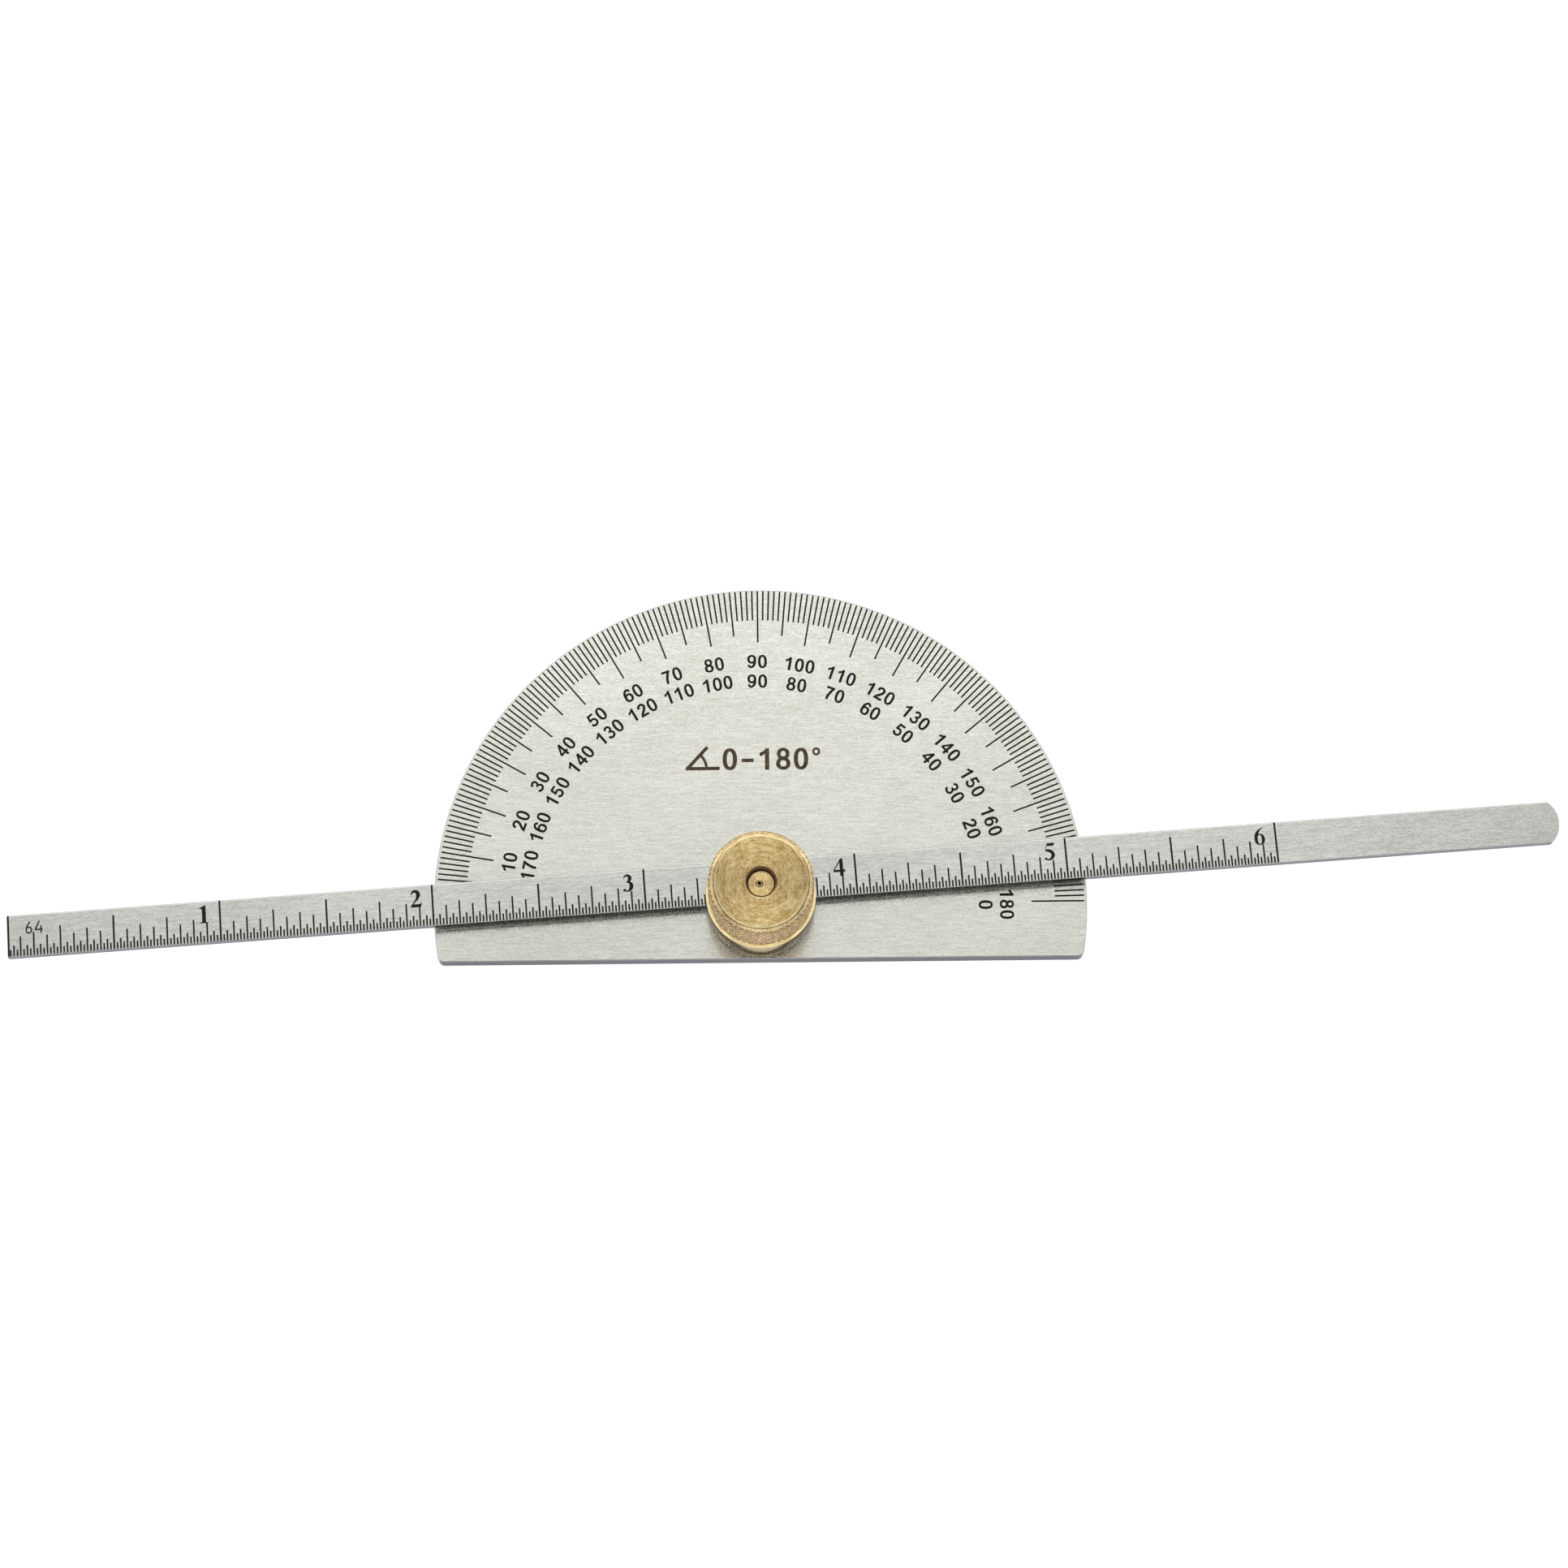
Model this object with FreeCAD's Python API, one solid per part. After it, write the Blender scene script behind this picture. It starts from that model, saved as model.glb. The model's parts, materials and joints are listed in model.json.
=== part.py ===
import FreeCAD, Part
import math
import os

# Protractor with a sliding depth rule, in millimetres.
# Origin: on the pivot axis, in the plane of the head's back face.
# +Z out of the graduated face, +Y towards the 90 degree mark, X along the straight datum edge.

V = FreeCAD.Vector

# head plate
head_radius = 39.3
datum_offset = 7.05          # pivot axis to the straight datum edge
head_thick = 2.2
corner_radius = 0.8
edge_break = 0.12

# sliding rule
rule_width = 5.1
rule_thick = 1.2
rule_length = 186.8
rule_zero_to_pivot = 90.0    # distance from the zero end to the pivot axis as the rule is set
rule_edge_drop = 0.43        # graduated edge below the pivot axis
rule_angle = 3.8             # tilt of the rule from the datum edge, degrees
rule_tip_radius = 3.4
rule_tip_blend = 0.5

# rule height above the head, set by the washer
washer_thick = 0.8
washer_radius = 5.7

# swivel stud
flange_radius = 4.5
flange_thick = 0.9
flange_sink = 0.1            # flange below the back face, so the plate lies flat
shank_radius = 3.0
shank_rise = 3.3             # top of the thick shank above the head
thread_radius = 1.6          # the M4 thread as a plain cylinder at its minor diameter
stud_sink = 0.93             # stud end below the top of the nut
dimple_radius = 0.45
dimple_depth = 0.5

# slotted collar
collar_radius = 6.6
collar_rise = 4.1            # top of the collar above the head
skirt_gap = 0.15             # skirt clear of the head, so the clamp bears on the rule

# knurled nut
nut_height = 6.2
nut_foot_radius = 5.85
nut_radius = 6.35
nut_face_radius = 5.67
nut_foot_height = 0.45
nut_rim_height = 0.35
nut_mouth_radius = 1.95

# clearances
running = 0.05
side_play = 0.1
seat = 0.01

head_top = head_thick
rule_low = head_top + washer_thick
rule_high = rule_low + rule_thick
collar_top = head_top + collar_rise
nut_top = collar_top + nut_height


def disc(radius, z0, z1):
    return Part.makeCylinder(radius, z1 - z0, V(0, 0, z0))


def turned(points):
    """Solid of revolution about Z from (radius, z) points."""
    wire = Part.makePolygon([V(r, 0, z) for r, z in points + points[:1]])
    return Part.Face(wire).revolve(V(0, 0, 0), V(0, 0, 1), 360)


def at_rule_angle(shape):
    """Swing a shape drawn with the rule along X round to the angle at which the rule is set."""
    shape.rotate(V(0, 0, 0), V(0, 0, 1), rule_angle)
    return shape


def level_edges(solid, z):
    """Edges that lie wholly in the plane at height z."""
    return [e for e in solid.Edges if all(abs(v.Z - z) < 1e-6 for v in e.Vertexes)
            and abs(e.CenterOfMass.z - z) < 1e-6]


def upright_edges(solid, x_min):
    """Straight edges parallel to Z that lie beyond x_min on either side."""
    found = []
    for edge in solid.Edges:
        ends = edge.Vertexes
        if len(ends) != 2:
            continue
        upright = abs(ends[0].X - ends[1].X) < 1e-6 and abs(ends[0].Y - ends[1].Y) < 1e-6
        if upright and abs(ends[0].X) > x_min:
            found.append(edge)
    return found


def head_plate():
    """Semicircular plate that carries on below its centre down to the datum edge."""
    plate = disc(head_radius, 0, head_top)
    below = Part.makeBox(3 * head_radius, head_radius, 3 * head_top,
                         V(-1.5 * head_radius, -datum_offset - head_radius, -head_top))
    plate = plate.cut(below)
    plate = plate.makeFillet(corner_radius, upright_edges(plate, head_radius / 2))
    rim = level_edges(plate, 0) + level_edges(plate, head_top)
    plate = plate.makeChamfer(edge_break, rim)
    plate = plate.cut(disc(shank_radius + running, -1, head_top + 1))
    return plate.cut(disc(flange_radius + 3 * running, -1, flange_sink + flange_thick + seat))


def rule_blade():
    """Steel rule: square zero end at the left, rounded tip at the right."""
    left = -rule_zero_to_pivot
    right = left + rule_length
    low = -rule_edge_drop
    high = low + rule_width
    half = rule_width / 2
    shoulder = right - rule_tip_radius + math.sqrt(rule_tip_radius ** 2 - half ** 2)
    outline = Part.Wire([
        Part.makeLine(V(left, high, rule_low), V(left, low, rule_low)),
        Part.makeLine(V(left, low, rule_low), V(shoulder, low, rule_low)),
        Part.Arc(V(shoulder, low, rule_low), V(right, low + half, rule_low),
                 V(shoulder, high, rule_low)).toShape(),
        Part.makeLine(V(shoulder, high, rule_low), V(left, high, rule_low)),
    ])
    blade = Part.Face(outline).extrude(V(0, 0, rule_thick))
    tip_edges = [e for e in upright_edges(blade, right - 2 * rule_tip_radius) if e.CenterOfMass.x > 0]
    blade = blade.makeFillet(rule_tip_blend, tip_edges)
    rim = level_edges(blade, rule_low) + level_edges(blade, rule_high)
    return at_rule_angle(blade.makeChamfer(edge_break / 2, rim))


def swivel_stud():
    """Brass stud: flange sunk in the back of the head, side notch for the rule, threaded end."""
    flange_top = flange_sink + flange_thick
    shank_top = head_top + shank_rise
    end = nut_top - stud_sink
    tip = 0.25
    stud = turned([
        (0, flange_sink), (flange_radius, flange_sink), (flange_radius, flange_top), (shank_radius, flange_top),
        (shank_radius, shank_top), (thread_radius, shank_top), (thread_radius, end - tip),
        (thread_radius - tip, end), (dimple_radius, end), (0, end - dimple_depth),
    ])
    notch_low = rule_low - 2 * seat
    notch_high = rule_high + 0.35
    notch = Part.makeBox(4 * shank_radius, 4 * shank_radius, notch_high - notch_low,
                         V(-2 * shank_radius, -rule_edge_drop - running, notch_low))
    return at_rule_angle(stud.cut(notch))


def rule_washer():
    """Brass washer that carries the rule clear of the head."""
    washer = disc(washer_radius, head_top + seat, rule_low - seat)
    return washer.cut(disc(shank_radius + running, 0, rule_high))


def slotted_collar():
    """Brass collar whose slot, open below, straddles the rule and presses it on the washer."""
    bottom = head_top + skirt_gap
    collar = turned([
        (0, bottom), (collar_radius, bottom), (collar_radius, collar_top - edge_break),
        (collar_radius - edge_break, collar_top), (0, collar_top),
    ])
    collar = collar.cut(disc(shank_radius + running, 0, nut_top))
    collar = collar.cut(disc(washer_radius + side_play, 0, rule_low + skirt_gap))
    slot = Part.makeBox(4 * collar_radius, rule_width + 2 * side_play, rule_high + seat,
                        V(-2 * collar_radius, -rule_edge_drop - side_play, 0))
    return at_rule_angle(collar.cut(slot))


def knurled_nut():
    """Brass nut; the knurled band is a plain cylinder over its crests."""
    bottom = collar_top + seat
    bore = thread_radius + running
    mouth = nut_mouth_radius - bore
    return turned([
        (bore, bottom), (nut_foot_radius, bottom), (nut_radius, bottom + nut_foot_height),
        (nut_radius, nut_top - nut_rim_height), (nut_face_radius, nut_top),
        (nut_mouth_radius, nut_top), (bore, nut_top - mouth),
    ])


nodes = {
    "head_plate": head_plate(),
    "rule_blade": rule_blade(),
    "swivel_stud": swivel_stud(),
    "rule_washer": rule_washer(),
    "slotted_collar": slotted_collar(),
    "knurled_nut": knurled_nut(),
}

os.makedirs("parts", exist_ok=True)
for name, shape in nodes.items():
    solid = shape.Solids[0]
    print(name, "solids", len(shape.Solids), "valid", solid.isValid(), "volume", round(solid.Volume, 2))
    solid.exportStep("parts/" + name + ".step")
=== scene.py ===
import json
import math
import random
from functools import reduce

import bmesh
import bpy
from mathutils import Matrix, Vector
from mathutils.geometry import delaunay_2d_cdt


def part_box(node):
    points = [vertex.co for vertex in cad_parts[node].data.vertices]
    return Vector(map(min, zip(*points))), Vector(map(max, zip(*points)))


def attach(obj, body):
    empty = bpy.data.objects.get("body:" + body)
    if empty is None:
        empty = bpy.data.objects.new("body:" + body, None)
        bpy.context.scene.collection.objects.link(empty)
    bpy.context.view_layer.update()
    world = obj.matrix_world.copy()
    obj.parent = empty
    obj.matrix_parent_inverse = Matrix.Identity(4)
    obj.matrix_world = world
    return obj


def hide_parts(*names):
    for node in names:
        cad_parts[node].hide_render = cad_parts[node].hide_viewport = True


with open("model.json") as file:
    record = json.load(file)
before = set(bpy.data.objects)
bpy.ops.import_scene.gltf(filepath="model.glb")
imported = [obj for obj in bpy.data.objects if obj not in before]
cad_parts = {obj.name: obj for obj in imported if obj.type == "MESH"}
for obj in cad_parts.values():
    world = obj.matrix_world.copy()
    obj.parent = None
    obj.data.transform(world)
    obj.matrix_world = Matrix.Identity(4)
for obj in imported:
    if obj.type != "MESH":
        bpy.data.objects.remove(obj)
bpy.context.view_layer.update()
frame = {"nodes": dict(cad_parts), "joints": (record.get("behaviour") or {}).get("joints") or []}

# Lengths below are in millimetres; meshes are written in metres.
MM = 0.001

# ---------------------------------------------------------------- places read from the frame

def corners(node):
    """Lowest and highest corner of a CAD node at rest, in millimetres."""
    return [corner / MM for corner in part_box(node)]


head_face = corners("head_plate")[1].z
rule_face = corners("rule_blade")[1].z
washer_top = corners("rule_washer")[1].z
nut_low, nut_high = corners("knurled_nut")
collar_low, collar_high = corners("slotted_collar")
stud_low, stud_high = corners("swivel_stud")
slide = next(j for j in frame["joints"] if j["name"] == "rule_slide")
along = Vector(slide["axis"]).normalized()
across = Vector((-along.y, along.x, 0))
rule_angle = math.atan2(along.y, along.x)
rule_points = [v.co / MM for v in frame["nodes"]["rule_blade"].data.vertices]
rule_zero = min(p.dot(along) for p in rule_points)
rule_edge = min(p.dot(across) for p in rule_points)
rule_back = max(p.dot(across) for p in rule_points)

# The stud's thread, and the rows of a mesh that follow it in one turn.
thread_pitch = 0.7
thread_rows = 8


# ---------------------------------------------------------------- mesh helpers

def add_object(name, verts, faces, smooth_angle=None):
    """Object from vertices in millimetres, smooth below an angle in degrees if one is given."""
    mesh = bpy.data.meshes.new(name)
    mesh.from_pydata([Vector(v) * MM for v in verts], [], faces)
    mesh.validate()
    obj = bpy.data.objects.new(name, mesh)
    bpy.context.scene.collection.objects.link(obj)
    if smooth_angle:
        smooth_by_angle(obj, smooth_angle)
    return obj


def smooth_by_angle(obj, degrees):
    """Smooth shading, with edges sharper than the angle kept crisp."""
    bm = bmesh.new()
    bm.from_mesh(obj.data)
    limit = math.radians(degrees)
    for edge in bm.edges:
        edge.smooth = len(edge.link_faces) == 2 and edge.calc_face_angle(0) < limit
    for face in bm.faces:
        face.smooth = True
    bm.to_mesh(obj.data)
    bm.free()


def ring_rows(rows, columns, radius_at):
    """Vertices of a body of revolution; radius_at(angle, r, z) may change the radius."""
    verts = []
    for r, z in rows:
        for k in range(columns):
            a = 2 * math.pi * k / columns
            q = radius_at(a, r, z)
            verts.append((q * math.cos(a), q * math.sin(a), z))
    return verts


def lathe(name, outline, columns, smooth_angle=35, radius_at=lambda a, r, z: r):
    """Closed solid turned from an outline of (radius, z), given counter-clockwise in the r-z plane.
    An outline that starts and ends on the axis is closed by fans, any other as a ring."""
    on_axis = outline[0][0] == 0
    rows = outline[1:-1] if on_axis else outline
    verts = ring_rows(rows, columns, radius_at)
    faces = []
    count = len(rows)
    last = count - 1 if on_axis else count
    for i in range(last):
        j = (i + 1) % count
        for k in range(columns):
            m = (k + 1) % columns
            faces.append((i * columns + k, i * columns + m, j * columns + m, j * columns + k))
    if on_axis:
        for tip, ring, flip in ((outline[0], 0, True), (outline[-1], count - 1, False)):
            verts.append((0, 0, tip[1]))
            for k in range(columns):
                a, b = ring * columns + k, ring * columns + (k + 1) % columns
                faces.append((len(verts) - 1, b, a) if flip else (len(verts) - 1, a, b))
    return add_object(name, verts, faces, smooth_angle)


def box_cutter(length, low, high, z0, z1, angle):
    """Box along X turned about Z by an angle, used to cut slots."""
    verts = [(x, y, z) for z in (z0, z1) for y in (low, high) for x in (-length, length)]
    turn = Matrix.Rotation(angle, 3, "Z")
    verts = [turn @ Vector(v) for v in verts]
    faces = [(0, 2, 3, 1), (4, 5, 7, 6), (0, 1, 5, 4), (2, 6, 7, 3), (0, 4, 6, 2), (1, 3, 7, 5)]
    return add_object("cutter", verts, faces)


def give_hollow(obj, values):
    """How deep in a groove or a hole each vertex lies, 0 to 1, by which the brass gets painted shade."""
    attribute = obj.data.attributes.new("hollow_shade", "FLOAT", "POINT")
    attribute.data.foreach_set("value", values)


def thread_form(angle, z, root, flank=0.6):
    """0 at the root to 1 on the crest of the thread."""
    phase = (z / thread_pitch - angle / (2 * math.pi)) % 1.0
    return max(0.0, min(1.0, (abs(phase - 0.5) * 2 - root) / flank))


def finish_piece(obj, material, body, node):
    """Give a piece its material and let it ride in a CAD node's place."""
    obj.data.materials.clear()
    obj.data.materials.append(material)
    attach(obj, body)
    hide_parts(node)


def cut_away(obj, cutter, bevel=0.0, smooth_angle=35):
    """Subtract cutter from obj, break the new edges by bevel, and keep the result as plain mesh."""
    boolean = obj.modifiers.new("cut", "BOOLEAN")
    boolean.object = cutter
    boolean.operation = "DIFFERENCE"
    boolean.solver = "EXACT"
    if bevel:
        edge = obj.modifiers.new("edge", "BEVEL")
        edge.width = bevel * MM
        edge.segments = 2
        edge.limit_method = "ANGLE"
        edge.angle_limit = math.radians(50)
        edge.use_clamp_overlap = True
    bpy.context.view_layer.update()
    done = bpy.data.meshes.new_from_object(obj.evaluated_get(bpy.context.evaluated_depsgraph_get()))
    obj.modifiers.clear()
    obj.data = done
    bpy.data.objects.remove(cutter)
    smooth_by_angle(obj, smooth_angle)


def rounded(points, radius, steps=4):
    """Open (r, z) polyline with its inner corners rounded."""
    out = [points[0]]
    for before, here, after in zip(points, points[1:], points[2:]):
        p, a, b = Vector(here), Vector(before) - Vector(here), Vector(after) - Vector(here)
        reach = min(radius, a.length / 2, b.length / 2)
        start, end = p + a.normalized() * reach, p + b.normalized() * reach
        for i in range(steps + 1):
            t = i / steps
            q = start * (1 - t) ** 2 + p * 2 * t * (1 - t) + end * t * t
            out.append((q.x, q.y))
    out.append(points[-1])
    return out


# ---------------------------------------------------------------- glyphs, in units of the cap height

def ellipse_ring(cx, cy, rx, ry, wx, wy, steps=40, power=2.2):
    """Closed stroke between two ovals, as quads."""
    def point(ax, ay, i):
        t = 2 * math.pi * i / steps
        c, s = math.cos(t), math.sin(t)
        return (cx + ax * math.copysign(abs(c) ** (2 / power), c),
                cy + ay * math.copysign(abs(s) ** (2 / power), s))
    return [[point(rx, ry, i), point(rx, ry, i + 1),
             point(rx - wx, ry - wy, i + 1), point(rx - wx, ry - wy, i)] for i in range(steps)]


def oval(cx, cy, rx, ry, steps=24):
    return [[(cx + rx * math.cos(2 * math.pi * i / steps), cy + ry * math.sin(2 * math.pi * i / steps))
             for i in range(steps)]]


def arc_nodes(cx, cy, rx, ry, a0, a1, width, steps=12):
    """Nodes of a stroke along an oval from angle a0 to a1 in degrees; width may be a pair."""
    w0, w1 = width if isinstance(width, tuple) else (width, width)
    out = []
    for i in range(steps + 1):
        t = i / steps
        a = math.radians(a0 + (a1 - a0) * t)
        out.append((cx + rx * math.cos(a), cy + ry * math.sin(a), w0 + (w1 - w0) * t))
    return out


def stroke(nodes, smooth=True):
    """Quads along a line of (x, y, width) nodes, smoothed between them."""
    pts = nodes
    if smooth and len(nodes) < 12:
        pts = []
        ext = [nodes[0]] + list(nodes) + [nodes[-1]]
        for a, b, c, d in zip(ext, ext[1:], ext[2:], ext[3:]):
            for i in range(6):
                t = i / 6
                pts.append(tuple(0.5 * (2 * q + (r - p) * t + (2 * p - 5 * q + 4 * r - s) * t * t
                                        + (3 * q - p - 3 * r + s) * t ** 3)
                                 for p, q, r, s in zip(a, b, c, d)))
        pts.append(nodes[-1])
    sides = []
    for i, (x, y, w) in enumerate(pts):
        ax, ay = pts[max(i - 1, 0)][:2]
        bx, by = pts[min(i + 1, len(pts) - 1)][:2]
        n = math.hypot(bx - ax, by - ay)
        nx, ny = -(by - ay) / n * w / 2, (bx - ax) / n * w / 2
        sides.append(((x + nx, y + ny), (x - nx, y - ny)))
    return [[l0, r0, r1, l1] for (l0, r0), (l1, r1) in zip(sides, sides[1:])]


def block(*points):
    return [list(points)]


def bold_sans():
    """Plain bold grotesque figures."""
    six = (ellipse_ring(0.335, 0.325, 0.325, 0.335, 0.185, 0.15)
           + stroke([(0.105, 0.33, 0.19), (0.105, 0.50, 0.19), (0.15, 0.72, 0.185), (0.24, 0.85, 0.17),
                     (0.36, 0.92, 0.165), (0.47, 0.895, 0.165), (0.535, 0.81, 0.17), (0.555, 0.735, 0.18)]))
    return {
        "0": ellipse_ring(0.33, 0.5, 0.325, 0.51, 0.19, 0.155, power=2.3),
        "1": block((0.31, 0), (0.50, 0), (0.50, 1.0), (0.345, 1.0), (0.31, 0.93))
             + block((0.31, 0.93), (0.345, 1.0), (0.27, 0.885), (0.07, 0.79), (0.07, 0.615), (0.20, 0.665),
                     (0.31, 0.745)),
        "2": stroke([(0.115, 0.67, 0.18), (0.14, 0.80, 0.185), (0.22, 0.89, 0.175), (0.33, 0.925, 0.165),
                     (0.45, 0.89, 0.18), (0.535, 0.79, 0.19), (0.54, 0.68, 0.19), (0.48, 0.54, 0.19),
                     (0.34, 0.38, 0.185), (0.20, 0.24, 0.18), (0.12, 0.11, 0.17)])
             + block((0.0, 0), (0.645, 0), (0.645, 0.175), (0.06, 0.175), (0.0, 0.06)),
        "3": stroke(arc_nodes(0.325, 0.725, 0.20, 0.205, 170, -62, (0.17, 0.17)))
             + stroke(arc_nodes(0.32, 0.29, 0.235, 0.215, 68, -172, (0.165, 0.18)))
             + block((0.25, 0.45), (0.42, 0.44), (0.44, 0.60), (0.25, 0.60)),
        "4": block((0.38, 0), (0.565, 0), (0.565, 1.0), (0.40, 1.0), (0.38, 0.965))
             + block((0.0, 0.215), (0.68, 0.215), (0.68, 0.38), (0.0, 0.38))
             + block((0.0, 0.38), (0.17, 0.38), (0.38, 0.69), (0.42, 1.0), (0.40, 1.0)),
        "5": block((0.13, 0.82), (0.60, 0.82), (0.60, 0.985), (0.13, 0.985))
             + block((0.04, 0.475), (0.205, 0.50), (0.275, 0.85), (0.13, 0.985))
             + stroke(arc_nodes(0.315, 0.33, 0.24, 0.245, 142, -168, (0.155, 0.185), 18)),
        "6": six,
        "7": block((0.025, 0.815), (0.635, 0.815), (0.635, 0.985), (0.025, 0.985))
             + stroke([(0.56, 0.90, 0.15), (0.44, 0.70, 0.19), (0.33, 0.45, 0.19), (0.27, 0.22, 0.19),
                       (0.25, 0.0, 0.19)]),
        "8": ellipse_ring(0.33, 0.74, 0.285, 0.27, 0.17, 0.14)
             + ellipse_ring(0.33, 0.285, 0.325, 0.295, 0.185, 0.15),
        "9": [[(0.66 - x, 1.0 - y) for x, y in face] for face in six],
        "-": block((0.06, 0.36), (0.60, 0.36), (0.60, 0.52), (0.06, 0.52)),
        "o": ellipse_ring(0.22, 0.83, 0.18, 0.19, 0.10, 0.105, 28, 2.0),
    }


def bold_serif():
    """Bold book figures with thick and thin strokes."""
    return {
        "1": block((0.24, 0.06), (0.455, 0.06), (0.455, 1.0), (0.42, 1.0), (0.24, 0.90))
             + block((0.07, 0.86), (0.07, 0.835), (0.17, 0.835), (0.24, 0.76), (0.42, 1.0), (0.40, 1.0))
             + block((0.08, 0), (0.60, 0), (0.60, 0.03), (0.50, 0.045), (0.455, 0.10), (0.24, 0.10),
                     (0.19, 0.045), (0.08, 0.03)),
        "2": stroke([(0.06, 0.70, 0.035), (0.11, 0.82, 0.09), (0.19, 0.90, 0.13), (0.30, 0.915, 0.17),
                     (0.41, 0.85, 0.21), (0.455, 0.72, 0.22), (0.42, 0.56, 0.18), (0.32, 0.40, 0.11),
                     (0.20, 0.25, 0.075), (0.07, 0.10, 0.06)])
             + block((0.02, 0), (0.59, 0), (0.665, 0.28), (0.635, 0.28), (0.60, 0.21), (0.53, 0.18),
                     (0.13, 0.18), (0.02, 0.06)),
        "3": stroke([(0.07, 0.76, 0.03), (0.13, 0.87, 0.08), (0.22, 0.93, 0.11), (0.33, 0.915, 0.15),
                     (0.415, 0.82, 0.20), (0.41, 0.70, 0.19), (0.34, 0.60, 0.12), (0.22, 0.545, 0.05)])
             + stroke([(0.22, 0.545, 0.05), (0.36, 0.53, 0.11), (0.46, 0.44, 0.19), (0.485, 0.30, 0.22),
                       (0.44, 0.16, 0.19), (0.35, 0.06, 0.12), (0.24, 0.035, 0.08), (0.12, 0.07, 0.09)])
             + oval(0.095, 0.10, 0.075, 0.075),
        "4": block((0.37, 0), (0.565, 0), (0.565, 1.0), (0.43, 1.0), (0.37, 0.92))
             + block((0.02, 0.235), (0.67, 0.235), (0.67, 0.365), (0.02, 0.365))
             + block((0.02, 0.365), (0.09, 0.365), (0.37, 0.78), (0.43, 1.0)),
        "5": block((0.17, 0.83), (0.57, 0.83), (0.63, 1.0), (0.22, 1.0))
             + block((0.06, 0.55), (0.10, 0.55), (0.215, 0.90), (0.21, 1.0))
             + stroke([(0.09, 0.585, 0.07), (0.22, 0.575, 0.15), (0.36, 0.53, 0.18), (0.47, 0.43, 0.19),
                       (0.505, 0.30, 0.20), (0.45, 0.16, 0.17), (0.34, 0.065, 0.12), (0.22, 0.04, 0.08),
                       (0.12, 0.08, 0.09)])
             + oval(0.095, 0.105, 0.075, 0.075),
        "6": ellipse_ring(0.335, 0.315, 0.295, 0.325, 0.185, 0.06)
             + stroke([(0.125, 0.33, 0.17), (0.145, 0.50, 0.19), (0.21, 0.68, 0.17), (0.33, 0.84, 0.11),
                       (0.46, 0.94, 0.06), (0.60, 0.99, 0.03)]),
    }


def thin_sans():
    """Light engraved figures."""
    line = 0.115
    return {
        "6": ellipse_ring(0.31, 0.30, 0.27, 0.30, line, line)
             + stroke([(0.10, 0.33, line), (0.13, 0.48, line), (0.24, 0.74, line), (0.42, 0.98, line)]),
        "4": block((0.44, 0), (0.44 + line, 0), (0.44 + line, 0.62), (0.44, 0.62))
             + block((0.0, 0.24), (0.64, 0.24), (0.64, 0.24 + line), (0.0, 0.24 + line))
             + block((0.0, 0.24 + line), (line * 1.2, 0.24 + line), (0.44, 1.0), (0.32, 1.0)),
    }


def counter_clockwise(face):
    area = sum(a[0] * b[1] - b[0] * a[1] for a, b in zip(face, face[1:] + face[:1]))
    return face if area > 0 else face[::-1]


def merged(faces):
    """One clean outline from overlapping shapes: (points, triangles)."""
    points, index = [], []
    for face in faces:
        face = counter_clockwise(list(face))
        index.append(list(range(len(points), len(points) + len(face))))
        points += [Vector(p) for p in face]
    verts, _, tris, _, _, sources = delaunay_2d_cdt(points, [], index, 1, 1e-5)
    return [tuple(v) for v in verts], [tuple(t) for t, source in zip(tris, sources) if source]


def make_font(shapes):
    return {key: merged(faces) for key, faces in shapes.items()}


def line_of_text(font, text, height, advance):
    """Glyphs of one line centred on its ink, as (points, faces) in millimetres."""
    placed, lo, hi = [], 1e9, -1e9
    for i, key in enumerate(text):
        points, faces = font[key]
        moved = [(x + i * advance, y) for x, y in points]
        lo, hi = min([lo] + [p[0] for p in moved]), max([hi] + [p[0] for p in moved])
        placed.append((moved, faces))
    mid = (lo + hi) / 2
    return [([((x - mid) * height, (y - 0.5) * height) for x, y in points], faces)
            for points, faces in placed]


def turned_to(shapes, centre, angle):
    """Place flat shapes at a centre, their X axis at an angle."""
    c, s = math.cos(angle), math.sin(angle)
    return [([(centre[0] + c * x - s * y, centre[1] + s * x + c * y) for x, y in points], faces)
            for points, faces in shapes]


def inlay(name, shapes, face_z, body, material, sunk=0.03, proud=0.006):
    """Etched filling: closed prisms let into a face, a hair proud of it."""
    verts, faces = [], []
    for points, tops in shapes:
        base, n = len(verts), len(points)
        verts += [(x, y, face_z - sunk) for x, y in points] + [(x, y, face_z + proud) for x, y in points]
        edges = set()
        for top in tops:
            faces.append(tuple(base + n + i for i in top))
            faces.append(tuple(base + i for i in reversed(top)))
            edges.update(zip(top, top[1:] + top[:1]))
        for a, b in edges:
            if (b, a) not in edges:
                faces.append((base + a, base + b, base + n + b, base + n + a))
    obj = add_object(name, verts, faces)
    obj.data.materials.append(material)
    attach(obj, body)
    return obj


# ---------------------------------------------------------------- materials

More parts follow.
